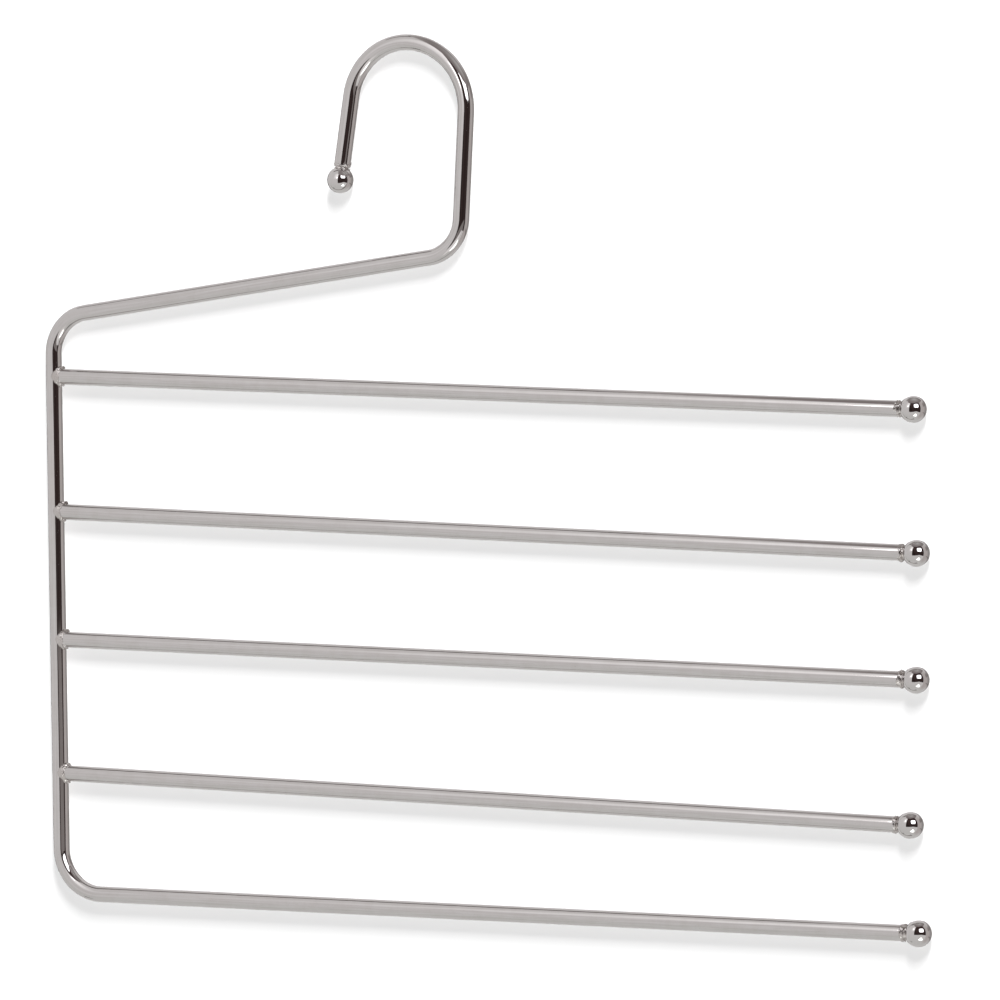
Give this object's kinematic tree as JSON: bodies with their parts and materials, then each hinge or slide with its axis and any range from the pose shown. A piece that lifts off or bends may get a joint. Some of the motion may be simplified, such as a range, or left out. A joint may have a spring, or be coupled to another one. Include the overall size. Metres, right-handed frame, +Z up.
{
  "type": "open-ended multi-bar trouser hanger",
  "caption": "Flat chromed-steel trouser hanger: a hooked, bent rod with parallel bars that are open at one end, each tipped with a ball.",
  "frame": {"origin": "inside top of the hook, where it sits on the rail", "axes": "+X along the bars towards their free ends, +Z up, Y across the rods (the thickness); the whole hanger lies in the XZ plane"},
  "size_m": [0.392, 0.0102, 0.3435],
  "materials": {
    "chromed_rod": "bright chrome plate over drawn steel rod, with faint lines along the rod",
    "chromed_ball": "bright chrome plate over a polished steel ball",
    "chromed_weld": "chrome plate over rippled weld metal"
  },
  "bodies": {
    "root": {"frame_rod": "chromed_rod", "bar_1": "chromed_rod", "bar_1_weld": "chromed_weld", "bar_2": "chromed_rod", "bar_2_weld": "chromed_weld", "bar_3": "chromed_rod", "bar_3_weld": "chromed_weld", "bar_4": "chromed_rod", "bar_4_weld": "chromed_weld", "hook_ball": "chromed_ball", "hook_ball_weld": "chromed_weld", "bar_1_ball": "chromed_ball", "bar_1_ball_weld": "chromed_weld", "bar_2_ball": "chromed_ball", "bar_2_ball_weld": "chromed_weld", "bar_3_ball": "chromed_ball", "bar_3_ball_weld": "chromed_weld", "bar_4_ball": "chromed_ball", "bar_4_ball_weld": "chromed_weld", "bottom_bar_ball": "chromed_ball", "bottom_bar_ball_weld": "chromed_weld"}
  },
  "joints": []
}
